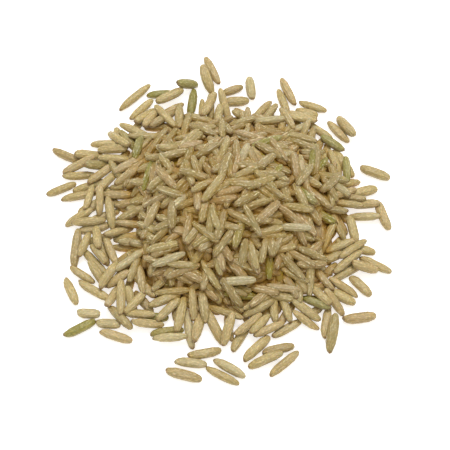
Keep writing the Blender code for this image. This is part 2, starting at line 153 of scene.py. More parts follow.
LEFT_GRAINS = (
    (-32.9, 12.4, -25, 7.4, GREEN), (-28.2, 12.2, 2, 6.5, STRAW), (-30.3, 9.8, 21, 8.0, CHALKY),
    (-30.1, 7.4, 4, 7.3, STRAW), (-26.2, 9.5, 15, 6.5, GREEN), (-33.7, 4.1, 25, 6.9, STRAW),
    (-29.8, 2.5, 12, 8.0, STRAW), (-27.6, 4.9, 19, 8.0, STRAW), (-27.0, 0.1, 31, 7.0, STRAW),
    (-29.6, -3.0, 27, 6.9, STRAW), (-26.3, -5.4, 14, 6.7, CHALKY), (-29.9, -10.2, 85, 9.0, RUDDY),
    (-24.8, -7.6, 18, 7.5, STRAW), (-28.3, -16.2, -33, 6.4, STRAW), (-25.8, -13.3, -49, 8.6, STRAW),
    (-25.6, -19.8, -31, 8.2, STRAW), (-30.5, -20.0, -65, 6.7, STRAW), (-26.6, -24.9, -3, 4.9, CHALKY),
    (-28.2, -28.2, 29, 7.2, GREEN), (-22.5, -27.3, -3, 5.1, CHALKY), (-20.8, -29.9, -19, 7.1, CHALKY),
    (-20.0, -26.2, -47, 7.2, GREEN), (-21.7, -21.4, 68, 7.0, CHALKY), (-15.5, -22.4, -51, 6.3, RUDDY),
    (-13.3, -25.7, -4, 6.1, GREEN), (-14.5, -27.5, -1, 6.9, STRAW), (-10.6, -29.0, 8, 7.0, GREEN),
    (-9.0, -23.5, 90, 6.7, STRAW),
)
FRONT_GRAINS = (
    (-6.1, -28.3, 98, 9.2, CHALKY), (-4.2, -27.7, 77, 9.0, STRAW), (-0.9, -28.2, -63, 8.4, STRAW),
    (2.0, -27.8, 97, 6.7, STRAW), (4.3, -30.1, 60, 7.4, STRAW), (-3.0, -33.6, 11, 7.0, STRAW),
    (-5.7, -35.7, -8, 6.7, CHALKY), (-7.1, -38.4, -15, 7.7, RUDDY), (0.6, -38.5, -28, 7.7, STRAW),
    (2.0, -36.9, -31, 7.5, CHALKY), (7.4, -32.6, 44, 7.6, STRAW), (11.8, -32.8, 13, 6.8, RUDDY),
    (9.2, -35.3, 21, 7.7, STRAW), (12.9, -35.8, 41, 8.0, STRAW), (13.6, -28.3, 31, 7.1, STRAW),
    (7.0, -25.3, 96, 8.1, RUDDY),
)
RIGHT_GRAINS = (
    (21.6, -26.9, 80, 7.2, STRAW), (22.6, -29.6, 78, 8.5, GREEN), (28.4, -25.9, 8, 7.0, RUDDY),
    (25.0, -21.2, -30, 6.4, STRAW), (28.9, -18.8, -47, 6.1, STRAW), (26.3, -15.6, 30, 8.1, STRAW),
    (32.3, -13.8, -29, 7.4, STRAW), (29.9, -14.9, -11, 5.9, STRAW), (29.1, -10.3, -14, 6.9, STRAW),
    (34.5, -2.3, -73, 7.3, STRAW), (30.7, 0.2, -4, 6.6, STRAW), (30.5, -2.7, -4, 6.8, CHALKY),
    (30.7, 3.3, 16, 6.0, STRAW), (33.2, 8.0, -23, 7.0, STRAW), (26.5, 10.3, -59, 8.0, STRAW),
)
EDGE_GRAINS = BACK_GRAINS + LEFT_GRAINS + FRONT_GRAINS + RIGHT_GRAINS
print(len(EDGE_GRAINS), "kernels placed by hand")

# %% [markdown]
# ## The ground that kernels fall on
# A rigid-body simulation of hundreds of kernels is slow and seldom stops where it should. A
# height map is enough: it starts as the core of the heap, and each kernel that comes to rest
# raises it to its own top.

# %% Keep the height of what has been laid
FIELD_HALF = 46.0
CELL = 0.25
PATCH = 1.2

Grain = namedtuple("Grain", "x y z heading pitch roll length girth kind")
X, Y, Z, HEADING, PITCH, ROLL, LENGTH, GIRTH, KIND = range(len(Grain._fields))


class Ground:
    """The kernels laid so far, and the height that they make over each cell."""

    def __init__(self):
        self.grains = []
        self.axis = np.arange(-FIELD_HALF, FIELD_HALF, CELL)
        gx, gy = np.meshgrid(self.axis, self.axis)
        self.height = np.maximum(mound_height(gx, gy) - CORE_DEPTH, 0)

    def cell(self, place):
        """Number of the cell at each place along one axis."""
        last = self.axis.size - 1
        return np.clip(np.rint((place + FIELD_HALF) / CELL).astype(int), 0, last)

    def at(self, x, y):
        """Height at each point."""
        return self.height[self.cell(y), self.cell(x)]

    def around(self, x, y):
        """Mean height over a small patch round each point."""
        steps = np.array([-PATCH, 0.0, PATCH])
        dx, dy = np.meshgrid(steps, steps)
        return self.at(x[:, None] + dx.ravel(), y[:, None] + dy.ravel()).mean(axis=1)

    def lay(self, grain):
        """Raises the ground to z + slope + half thickness * sqrt(taper^2 - (aside / half width)^2)."""
        half = grain.length / 2 * math.cos(grain.pitch)
        width, thick = GRAIN_WIDTH * grain.girth, GRAIN_THICKNESS * grain.girth
        reach = (half + width / 2) * np.array([-1, 1])
        columns = slice(*self.cell(grain.x + reach))
        rows = slice(*self.cell(grain.y + reach))
        dx, dy = np.meshgrid(self.axis[columns] - grain.x, self.axis[rows] - grain.y)
        along = dx * math.cos(grain.heading) + dy * math.sin(grain.heading)
        aside = dy * math.cos(grain.heading) - dx * math.sin(grain.heading)
        share = taper(np.clip(along / half, -1, 1))
        bulge = np.sqrt(np.clip(share ** 2 - (2 * aside / width) ** 2, 0, 1))
        slopes = along * math.tan(grain.pitch) + aside * math.tan(grain.roll)
        top = grain.z + slopes + thick / 2 * bulge
        higher = (bulge > 0) & (top > self.height[rows, columns])
        self.height[rows, columns][higher] = top[higher]
        self.grains.append(grain)


print("cells across", Ground().axis.size)

# %% [markdown]
# ## How a kernel comes to rest
# A kernel is felt at thirteen stations along it and five places across. Its axis takes the line
# that clears all of them and passes lowest at its middle, as a stick laid on stones does.

# %% Find where a kernel rests
STATIONS = np.linspace(-0.94, 0.94, 13)
ACROSS = np.array([-0.75, -0.35, 0.0, 0.35, 0.75])
SLOPE_ROUNDS = 2


def rest(ground, x, y, heading, length, girth):
    """Height and slope of rest at each place.

    For each pair of stations, one behind and one ahead, the line through their needed heights
    crosses the middle at some height. The highest crossing is the height of rest, and the slope
    is the gentlest that still clears every station.
    """
    width, thick = GRAIN_WIDTH * girth, GRAIN_THICKNESS * girth
    share = taper(STATIONS)
    lift = thick / 2 * share[:, None] * np.sqrt(1 - ACROSS ** 2)
    aside = width / 2 * share[:, None] * ACROSS
    cosine, sine = np.cos(heading)[:, None, None], np.sin(heading)[:, None, None]
    behind, ahead = STATIONS < 0, STATIONS > 0
    slope = np.zeros(x.size)
    for _ in range(SLOPE_ROUNDS):
        along = length / 2 * STATIONS * np.cos(np.arctan(slope))[:, None]
        px = x[:, None, None] + along[:, :, None] * cosine - aside * sine
        py = y[:, None, None] + along[:, :, None] * sine + aside * cosine
        need = (ground.at(px, py) + lift).max(axis=2)
        rear, front = -along[:, behind, None], along[:, None, ahead]
        spans = (need[:, behind, None] * front + need[:, None, ahead] * rear) / (rear + front)
        z = np.maximum(spans.max(axis=(1, 2)), need[:, STATIONS.size // 2])
        least = ((need[:, ahead] - z[:, None]) / along[:, ahead]).max(axis=1)
        most = ((z[:, None] - need[:, behind]) / -along[:, behind]).min(axis=1)
        slope = np.where(np.abs(least) < np.abs(most), least, most)
    return z, slope


print("a kernel is felt at", STATIONS.size * ACROSS.size, "points")

# %% [markdown]
# ## Dropping a kernel
# A dropped kernel tries many places and turns near where it lands and keeps the lowest, which
# is what rolling does to a real one. It then leans to the side where the ground falls away,
# and one that lies high works down a little between the others.

# %% Drop one kernel
TRIES = 64
ROLL_AWAY = 2.6
TURN_AWAY = math.radians(35.0)
LEVEL_WORTH = 0.3
GIRTH_LIMIT = 2
SIDE_STEP = 0.8
SIDE_FOLLOW = 0.5
MOST_ROLL = 0.4
FREE_GIRTH = 0.90
NESTLE = 1.0
NESTLE_FROM = 1.9


def side_slope(ground, x, y, heading, width):
    """Half the angle by which the ground falls from the left of a kernel to its right."""
    aside = SIDE_STEP * width
    left = ground.at(x - aside * math.sin(heading), y + aside * math.cos(heading))
    right = ground.at(x + aside * math.sin(heading), y - aside * math.cos(heading))
    return float(np.clip(SIDE_FOLLOW * math.atan2(left - right, 2 * aside), -MOST_ROLL, MOST_ROLL))


def drop(ground, rng, x, y, heading, length, kind, free):
    """Lays one kernel. A free one rolls and turns into the lowest place near where it lands."""
    girth = 1 + GIRTH_SPREAD * np.clip(rng.standard_normal(), -GIRTH_LIMIT, GIRTH_LIMIT)
    girth = girth * FREE_GIRTH if free else girth
    tries = TRIES if free else 1
    distance = ROLL_AWAY * np.sqrt(rng.random(tries)) * free
    bearing = rng.uniform(0, 2 * math.pi, tries)
    headings = heading + rng.uniform(-TURN_AWAY, TURN_AWAY, tries) * free
    xs, ys = x + distance * np.cos(bearing), y + distance * np.sin(bearing)
    z, slope = rest(ground, xs, ys, headings, length, girth)
    best = int(np.argmin(z + LEVEL_WORTH * np.abs(slope)))
    roll = side_slope(ground, xs[best], ys[best], headings[best], GRAIN_WIDTH * girth)
    pitch = math.atan(slope[best])
    sunk = z[best] - NESTLE * free * min(max(z[best] / NESTLE_FROM - 1, 0), 1)
    ground.lay(Grain(xs[best], ys[best], sunk, headings[best], pitch, roll, length, girth, kind))


def drop_random(ground, rng, x, y):
    """Lays a free kernel of random length, heading and kind."""
    length = GRAIN_LENGTH * (1 + LENGTH_SPREAD * rng.standard_normal())
    heading = rng.uniform(0, math.pi)
    kind = int(rng.choice(len(KIND_SHARES), p=KIND_SHARES))
    drop(ground, rng, x, y, heading, length, kind, free=True)


print("a free kernel looks at", TRIES, "places")

# %% [markdown]
# ## Pouring the heap
# The kernels listed one by one come first, then the skirt, then the mound. The skirt fills the barest
# places round the foot. The mound takes each new kernel where it is furthest below its full height,
# until nothing is missing, so it ends up even without looking combed.

# %% Pour the skirt and the mound
SEED = 41
SKIRT_GRAINS = 170
SKIRT_INNER = 21.0
SKIRT_OUTER = 27.5
SKIRT_LOBES = ((1, 0.11, 205.0), (2, 0.03, 22.0), (4, 0.058, 45.0))
SKIRT_LOOKS = 12
MOUND_SPREAD = 1.1
MOUND_LOOKS = 80
MOST_MOUND_GRAINS = 900


def skirt_place(ground, rng):
    """The barest of a few places in the ring round the mound's foot."""
    bearing = rng.uniform(0, 2 * math.pi, SKIRT_LOOKS)
    out = rng.uniform(SKIRT_INNER, lobed(SKIRT_OUTER, SKIRT_LOBES, bearing))
    x, y = MOUND_MIDDLE[0] + out * np.cos(bearing), MOUND_MIDDLE[1] + out * np.sin(bearing)
    barest = int(np.argmin(ground.around(x, y)))
    return x[barest], y[barest]


def mound_place(ground, rng):
    """The place furthest below the full mound among many, and how far below it is."""
    bearing = rng.uniform(0, 2 * math.pi, MOUND_LOOKS)
    out = MOUND_SPREAD * MOUND_RADIUS * np.sqrt(rng.random(MOUND_LOOKS))
    x, y = MOUND_MIDDLE[0] + out * np.cos(bearing), MOUND_MIDDLE[1] + out * np.sin(bearing)
    missing = mound_height(x, y) - ground.around(x, y)
    lowest = int(np.argmax(missing))
    return x[lowest], y[lowest], missing[lowest]


def pour():
    """All the kernels in the order in which they were laid, as rows of Grain's values."""
    rng = np.random.default_rng(SEED)
    ground = Ground()
    for x, y, heading, length, kind in EDGE_GRAINS:
        drop(ground, rng, x, y, math.radians(heading), length, kind, free=False)
    for _ in range(SKIRT_GRAINS):
        drop_random(ground, rng, *skirt_place(ground, rng))
    for _ in range(MOST_MOUND_GRAINS):
        x, y, missing = mound_place(ground, rng)
        if missing < 0:
            break
        drop_random(ground, rng, x, y)
    return np.array(ground.grains)


grains = pour()
print(len(grains), "kernels, the highest at", round(float(grains[:, Z].max()), 1), "mm")

# %% [markdown]
# ## The layer below
# Between the kernels on top, the next ones down show in shade. Nobody can see how those lie, so
# they needn't be dropped one by one. They are spread on a golden-angle spiral, which covers a
# disc evenly without rows, at one depth under the mound's surface and tilted to follow it, but
# never so far that an end goes through the table.

# %% Spread the layer below
BELOW_GRAINS = 480
BELOW_DEPTH = 2.0
BELOW_UNEVEN = 0.3
BELOW_SEED = 5
GOLDEN_ANGLE = math.pi * (3 - math.sqrt(5))


def layer_below():
    """Kernels at out = foot * sqrt(k / n) and bearing = k * golden angle, as rows of Grain's values."""
    rng = np.random.default_rng(BELOW_SEED)
    order = np.arange(BELOW_GRAINS) + 0.5
    bearing = order * GOLDEN_ANGLE
    out = lobed(MOUND_RADIUS, MOUND_LOBES, bearing) * np.sqrt(order / BELOW_GRAINS)
    x, y = MOUND_MIDDLE[0] + out * np.cos(bearing), MOUND_MIDDLE[1] + out * np.sin(bearing)
    heading = rng.uniform(0, math.pi, BELOW_GRAINS)
    step_x, step_y = np.cos(heading) * GRAIN_LENGTH / 2, np.sin(heading) * GRAIN_LENGTH / 2
    rise = mound_height(x + step_x, y + step_y) - mound_height(x - step_x, y - step_y)
    z = mound_height(x, y) - BELOW_DEPTH + BELOW_UNEVEN * rng.standard_normal(BELOW_GRAINS)
    most = np.arcsin(np.clip((2 * z - GRAIN_THICKNESS) / GRAIN_LENGTH, 0, 1))
    pitch = np.clip(np.arctan(rise / GRAIN_LENGTH), -most, most)
    level, full = np.zeros(BELOW_GRAINS), np.ones(BELOW_GRAINS)
    rows = np.column_stack([x, y, z, heading, pitch, level, GRAIN_LENGTH * full, full, STRAW * full])
    return rows[z > GRAIN_THICKNESS / 2]


below = layer_below()
print(len(below), "kernels below")

# %% [markdown]
# ## Let the kernels tip into each other
# Kernels laid on a height map only ever rest on top of each other. In a real heap one end has
# often slipped into a gap, so each kernel of the mound is tipped by a small random angle. The
# angle fades to nothing near the table, where kernels lie flat. The kernels run into each
# other, so there are more of them than a real heap of this size holds. Only what shows counts.

# %% Tip the kernels of the mound
TIP = math.radians(5.0)
TIP_SEED = 3


def tipped(rows):
    """Pitch gains a normal random angle times a share that is 0 up to one thickness and 1 from three."""
    rng = np.random.default_rng(TIP_SEED)
    share = np.clip(rows[:, Z] / (2 * GRAIN_THICKNESS) - 0.5, 0, 1)
    after = rows.copy()
    after[:, PITCH] += share * TIP * rng.standard_normal(len(rows))
    return after


grains = np.vstack([tipped(grains), below])
in_shade = np.arange(len(grains)) >= len(grains) - len(below)
print(in_shade.sum(), "of", len(grains), "kernels lie below")

# %% [markdown]
# ## The surface of a kernel
# A kernel is a tube carried along its own axis. Across, it is a slightly squared oval with a
# shallow groove down each broad side. Along, it bends a little, like a very straight banana,
# and one end is cut on a slant where the germ sits. A kernel is repeated hundreds of times, so
# it has few faces: seven rings are enough, because most of them sit near the ends, where the
# outline turns. One array holds every kernel, ring and side, so there is no loop.

# %% Shape the kernels
SIDES = 8
RINGS = np.array([-0.97, -0.86, -0.5, 0.0, 0.5, 0.86, 0.97])
BLUNTNESS = (2.5, 4.5)
SQUARENESS = 0.12
GROOVE_DEPTH = 0.05
GROOVE_NARROWNESS = 12
BEND = 0.10
SLANT_FROM = -0.45
SLANT = 0.75
LEAST_SLANT = 0.2
BLUNT_TIP = 0.99
SHAPE_SEED = 7


def local_rings(bend, slant, bluntness):
    """Points of kernels lying along x, with half length and half girths of 1.

    Across: radius = (1 - |t|^bluntness)^0.5 * (1 + squareness * sin(2a)^2 - groove * sin(a)^12).
    Along: y gains bend * (1 - t^2), and x gains slant * y * s, where s grows from 0 to 1
    between the slant's start and the germ end.
    """
    t = RINGS[None, :, None]
    a = 2 * math.pi * np.arange(SIDES)[None, None, :] / SIDES
    girth = (1 - np.abs(t) ** bluntness[:, None, None]) ** TAPER_ROUND
    groove = GROOVE_DEPTH * np.sin(a) ** GROOVE_NARROWNESS
    radius = girth * (1 + SQUARENESS * np.sin(2 * a) ** 2 - groove)
    y = radius * np.cos(a) + bend[:, None, None] * (1 - t ** 2)
    near_germ = np.clip((SLANT_FROM - t) / (SLANT_FROM + 1), 0, 1)
    x = t + slant[:, None, None] * GRAIN_WIDTH / GRAIN_LENGTH * radius * np.cos(a) * near_germ
    z = radius * np.sin(a) + 0 * x
    return np.stack(np.broadcast_arrays(x, y, z), axis=3)


def kernel_points(rows, rng):
    """Points of each kernel in its own axes, in mm: the germ tip, the rings, and the other tip."""
    count = len(rows)
    bend = BEND * rng.standard_normal(count)
    slant = SLANT * rng.uniform(LEAST_SLANT, 1.0, count) * rng.choice((-1, 1), count)
    bluntness = rng.uniform(*BLUNTNESS, count)
    rings = local_rings(bend, slant, bluntness).reshape(count, -1, 3)
    tips = np.zeros((count, 2, 3))
    tips[:, 0, 0] = -BLUNT_TIP
    tips[:, 1, 0] = BLUNT_TIP
    shape = np.concatenate([tips[:, :1], rings, tips[:, 1:]], axis=1)
    girth = rows[:, GIRTH]
    half = np.column_stack([rows[:, LENGTH], GRAIN_WIDTH * girth, GRAIN_THICKNESS * girth]) / 2
    return shape * half[:, None, :]


draws = np.random.default_rng(SHAPE_SEED)
own_points = kernel_points(grains, draws)
print("points on a kernel", own_points.shape[1])

# %% [markdown]
# ## Turning the kernels into place
# Each kernel has three axes of its own: forward along it, left across it, and up through its
# back. Multiplying its points by these axes turns it, and adding its middle moves it there.
# Done with whole arrays, this is one product for the entire heap.

# %% Turn and move the kernels
def kernel_axes(rows):
    """Unit axes of each kernel, (n, 3, 3): forward from heading and pitch, then rolled about it."""
    heading, pitch, roll = rows[:, HEADING], rows[:, PITCH], rows[:, ROLL]
    cosine, sine = np.cos(heading), np.sin(heading)
    level = np.column_stack([-sine, cosine, 0 * heading])
    forward = np.column_stack([cosine * np.cos(pitch), sine * np.cos(pitch), np.sin(pitch)])
    left = np.cos(roll)[:, None] * level + np.sin(roll)[:, None] * np.cross(forward, level)
    return np.stack([forward, left, np.cross(forward, left)], axis=1)


def in_part(points_mm):
    """Points moved from the layout's millimetres to metres round the part's origin."""
    return (points_mm - np.array([*ORIGIN, 0.0])) * MM


turned = np.einsum("npk,nkj->npj", own_points, kernel_axes(grains))
placed = in_part(turned + grains[:, None, X:Z + 1])
print("kernels reach from", placed.min(axis=(0, 1)).round(4), "to", placed.max(axis=(0, 1)).round(4))

# %% [markdown]
# ## What a finish has to know
# The finish of a kernel depends on where it lies, because light and shade are painted into its colour.
# Light reaches the deep gaps only after it has passed through other kernels, which turns it golden, so
# the depths get painted golden shade. A kernel on the bare table gets light from all round, so its body
# is painted a paler golden. So each kernel carries its depth under the top of the heap and how open it
# lies, with two random numbers that make it differ from the next one.

# %% Work out depth, openness and chance
STANDS_ABOVE = 1.0
OPEN_BELOW = 3.5
PATTERN_JUMP = 60.0


def depth_mm(points):
    """Height of the mound plus the half kernel that stands above it, less the height of the point."""
    x, y, z = np.moveaxis(points / MM, 2, 0)
    return mound_height(x + ORIGIN[0], y + ORIGIN[1]) + STANDS_ABOVE - z


depths = depth_mm(placed)
openness = np.clip(1 - mound_height(grains[:, X], grains[:, Y]) / OPEN_BELOW, 0, 1)
pattern_start = draws.uniform(-PATTERN_JUMP, PATTERN_JUMP, (len(grains), 3))
tones = draws.random(len(grains))
blushes = draws.random(len(grains))
print(int((openness > 0.5).sum()), "kernels lie in the open")

# %% [markdown]
# ## From arrays to meshes
# All kernels share one pattern of faces, so the faces of a heap are that pattern shifted by the
# number of points before each kernel. The mesh stores the values above at its points, and also
# where a point lies on its own kernel, how far along it and at which angle round it.

# %% Build a mesh of many kernels
def tube_pattern(rings, sides):
    """Faces of a tube with a point at each end, as arrays of quads and triangles facing out."""
    here = np.arange(sides)
    after = (here + 1) % sides
    starts = 1 + sides * np.arange(rings - 1)[:, None]
    corners = [starts + here, starts + after, starts + sides + after, starts + sides + here]
    last = rings * sides + 1
    germ = np.column_stack([0 * here, 1 + after, 1 + here])
    tip = np.column_stack([last - sides + here, last - sides + after, 0 * here + last])
    return np.stack(corners, axis=2).reshape(-1, 4), np.vstack([germ, tip])


def angle_places():
    """For each point of a kernel, the cosine and sine of its angle round it, and 0."""
    angle = np.tile(2 * math.pi * np.arange(SIDES) / SIDES, len(RINGS))
    around = np.column_stack([np.cos(angle), np.sin(angle), 0 * angle])
    tip = np.array([[0.0, 1.0, 0.0]])
    return np.vstack([tip, around, tip])


def add_values(mesh, name, values, kind="FLOAT", field="value"):
    """Stores one value for each point of the mesh, under a name that its material reads."""
    attribute = mesh.attributes.new(name, kind, "POINT")
    attribute.data.foreach_set(field, np.ascontiguousarray(values, dtype=np.float32).ravel())


def kernel_mesh(name, chosen):
    """One smooth mesh of the chosen kernels."""
    points, own = placed[chosen], own_points[chosen]
    count, each = points.shape[:2]
    quads, triangles = tube_pattern(len(RINGS), SIDES)
    shift = each * np.arange(count)[:, None, None]
    faces = (quads + shift).reshape(-1, 4).tolist() + (triangles + shift).reshape(-1, 3).tolist()
    mesh = bpy.data.meshes.new(name)
    mesh.from_pydata(points.reshape(-1, 3).tolist(), [], faces)
    mesh.shade_smooth()
    patterned = own + pattern_start[chosen][:, None, :]
    add_values(mesh, "on_kernel", patterned, "FLOAT_VECTOR", "vector")
    add_values(mesh, "across", np.tile(angle_places(), (count, 1)), "FLOAT_VECTOR", "vector")
    add_values(mesh, "along", 2 * own[:, :, 0] / grains[chosen, LENGTH][:, None])
    add_values(mesh, "depth", depths[chosen])
    add_values(mesh, "open", np.repeat(openness[chosen], each))
    add_values(mesh, "tone", np.repeat(tones[chosen], each))
    add_values(mesh, "blush", np.repeat(blushes[chosen], each))
    return mesh


print("faces on a kernel", sum(len(faces) for faces in tube_pattern(len(RINGS), SIDES)))

# %% [markdown]
# ## Tools for painting
# A finish is a chain of small steps: read a value that the mesh stores, move it to another
# range, multiply it, and use it to mix in a colour. Each step gets a helper, so that the finish
# itself can be read as a list of what is laid over what.

# %% Helpers for materials
MIX_COLOURS = slice(6, 8)
MIX_RESULT = 2


def add_node(tree, kind, options=None, inputs=None):
    """Adds a node, sets its options, and sets or links each named input."""
    made = tree.nodes.new(kind)
    for name, value in (options or {}).items():
        setattr(made, name, value)
    for name, value in (inputs or {}).items():
        if isinstance(value, bpy.types.NodeSocket):
            tree.links.new(value, made.inputs[name])
        else:
            made.inputs[name].default_value = value
    return made


def read_value(tree, name, output="Fac"):
    """The named value that the mesh stores at each point."""
    return add_node(tree, "ShaderNodeAttribute", {"attribute_name": name}).outputs[output]


def between(tree, value, low, high, to_low, to_high):
    """A value moved from the range low to high to another range, and held inside it."""
    inputs = {"Value": value, "From Min": low, "From Max": high, "To Min": to_low, "To Max": to_high}
    return add_node(tree, "ShaderNodeMapRange", None, inputs).outputs["Result"]


def maths(tree, operation, *values):
    """The result of one sum on these values."""
    return add_node(tree, "ShaderNodeMath", {"operation": operation}, dict(enumerate(values))).outputs[0]


def noise(tree, place, stretch, scale, detail):
    """Cloudy noise from 0 to 1 at these places, drawn out where the stretch is small."""
    drawn = add_node(tree, "ShaderNodeMapping", None, {"Vector": place, "Scale": stretch})
    inputs = {"Vector": drawn.outputs["Vector"], "Scale": scale, "Detail": detail}
    return add_node(tree, "ShaderNodeTexNoise", None, inputs).outputs["Fac"]


def lit_colour(tree, colour, light):
    """A colour times light, which makes it darker below 1 and lighter above."""
    if not isinstance(colour, bpy.types.NodeSocket):
        colour = (*colour, 1.0)
    inputs = {"Color": colour, "Value": light}
    return add_node(tree, "ShaderNodeHueSaturation", None, inputs).outputs["Color"]


def blend_colour(tree, share, first, second, way="MIX"):
    """Two colours mixed by a share."""
    made = add_node(tree, "ShaderNodeMix", {"data_type": "RGBA", "blend_type": way}, {"Factor": share})
    for socket, value in zip(made.inputs[MIX_COLOURS], (first, second)):
        if isinstance(value, bpy.types.NodeSocket):
            tree.links.new(value, socket)
        else:
            socket.default_value = (*value, 1.0)
    return made.outputs[MIX_RESULT]


helpers = (add_node, read_value, between, maths, noise, lit_colour, blend_colour)
print(len(helpers), "helpers for materials")

# %% [markdown]
# ## The pattern in the bran
# The husk's ribs leave fine lines along a kernel. They are a sine of the angle round it, and a noise
# drawn out along the kernel makes them wander. A finer noise gives the specks that make the bran
# glisten: they vary its gloss and relief, and they lighten its colour as painted glints. A coarse one
# decides where lines show and where the starch is chalky.

# %% Draw ribs, streaks and specks
STREAK_STRETCH, STREAK_SCALE, STREAK_DETAIL = (0.25, 1.9, 1.9), 1.3, 3.0
SPECK_STRETCH, SPECK_SCALE, SPECK_DETAIL = (0.45, 1.0, 1.0), 3.2, 2.0
PATCH_STRETCH, PATCH_SCALE, PATCH_DETAIL = (1.0, 1.0, 1.0), 0.35, 1.0
RIBS = 7.0
RIB_WANDER = 5.0

Pattern = namedtuple("Pattern", "streaks specks patches ribs up")


def bran_pattern(tree):
    """The noises, the ribs as sin(count * angle + wander), and how far up a kernel's side a point is."""
    place = read_value(tree, "on_kernel", "Vector")
    streaks = noise(tree, place, STREAK_STRETCH, STREAK_SCALE, STREAK_DETAIL)
    specks = noise(tree, place, SPECK_STRETCH, SPECK_SCALE, SPECK_DETAIL)
    patches = noise(tree, place, PATCH_STRETCH, PATCH_SCALE, PATCH_DETAIL)
    across = add_node(tree, "ShaderNodeSeparateXYZ", None, {0: read_value(tree, "across", "Vector")})
    angle = maths(tree, "ARCTAN2", across.outputs["Y"], across.outputs["X"])
    wander = between(tree, streaks, 0.0, 1.0, -RIB_WANDER, RIB_WANDER)
    ribs = maths(tree, "SINE", maths(tree, "MULTIPLY_ADD", angle, RIBS, wander))
    return Pattern(streaks, specks, patches, ribs, across.outputs["Y"])


print("a streak is", round(1 / (STREAK_STRETCH[1] * STREAK_SCALE), 2), "mm wide")

# %% [markdown]
# ## The colours of the bran
# Everything starts from the kernel's own tone. Grooves darken it, a painted highlight runs in broken
# pale lines along the crests, and the highest parts get a painted pale sheen. The lower flanks get
# painted golden shade, for the light that comes through the kernel there, and so do the depths of the
# heap. A kernel in the open is calmer: a body painted pale golden, as in light from all round, with
# painted greyish shade on its lower rim. In the ring between the two, only the low parts get painted
# golden shade, where kernels lie on each other. The germ end is darkest.

# %% Lay one colour over another
BLUSH_COLOUR = (0.46, 0.30, 0.12)
CHALK_COLOUR = (0.64, 0.55, 0.35)
# Painted golden shade on the lower flanks, standing for light through the kernel.
FLANK_SHADE_TINT = (0.92, 0.80, 0.42)
GROOVE_COLOUR = (0.30, 0.20, 0.05)
# Painted pale sheen on the highest parts of the heap.
TOP_SHEEN_COLOUR = (0.56, 0.48, 0.28)
# Painted light: the paler golden body of a kernel in the open.
OPEN_PAINTED_LIGHT_COLOUR = (0.66, 0.51, 0.22)
# Painted greyish shade on the lower rim of a kernel in the open.
RIM_SHADE_COLOUR = (0.34, 0.27, 0.14)
# Painted highlight along the crests of the ribs, broken into glints by the specks.
CREST_HIGHLIGHT_COLOUR = (0.80, 0.71, 0.45)
# Painted golden-brown shade in the depths of the heap.
DEPTH_SHADE_COLOUR = (0.42, 0.215, 0.012)
# Painted golden shade on the low parts in the ring, where kernels lie on each other.
LOW_SHADE_COLOUR = (0.58, 0.36, 0.08)
END_COLOUR = (0.25, 0.14, 0.05)

# A value that goes from the first number to the second gives a share from the third to the
# fourth. Where there is no fourth, the finish or the kernel itself gives it.
CALM = (0.0, 1.0, 1.0, 0.3)
BLUSHED = (0.6, 1.0, 0.0, 0.9)
CHALKED = (0.5, 0.75, 0.0)
ON_FLANK = (0.9, 0.1, 0.0, 0.8)
LINED = (0.35, 0.6, 1.0, 0.2)
IN_GROOVE = (-0.3, -1.0, 0.0, 0.45)
ON_TOP = (0.2, -1.0, 0.0, 0.25)
IN_OPEN = (0.0, 1.0, 0.0)
ON_RIM = (0.6, -0.1, 0.0, 0.65)
ON_CREST = (0.5, 0.95, 0.0, 0.7)
BROKEN = (0.46, 0.58, 0.0, 1.0)
DEEP_DOWN = (0.3, 2.3, 0.0, 0.9)
LOW_DOWN = (-0.2, 0.9, 0.0, 0.9)
BEYOND_RING = (1.0, 0.8, 0.0)
AT_GERM = (-0.86, -0.98, 0.0, 0.8)
STREAK_LIGHT = (0.3, 0.7, 0.90, 1.08)
# The specks also lighten the colour as painted glints.
SPECK_GLINT_LIGHT = (0.50, 0.68, 0.94, 1.25)
# Painted light: a kernel in the open is made lighter.
OPEN_PAINTED_BRIGHTNESS = (0.0, 1.0, 1.0, 1.08)

# golden is the share of painted light, a pale golden body, that a kernel in the open gets.
Finish = namedtuple("Finish", "dark light chalk golden roughness")


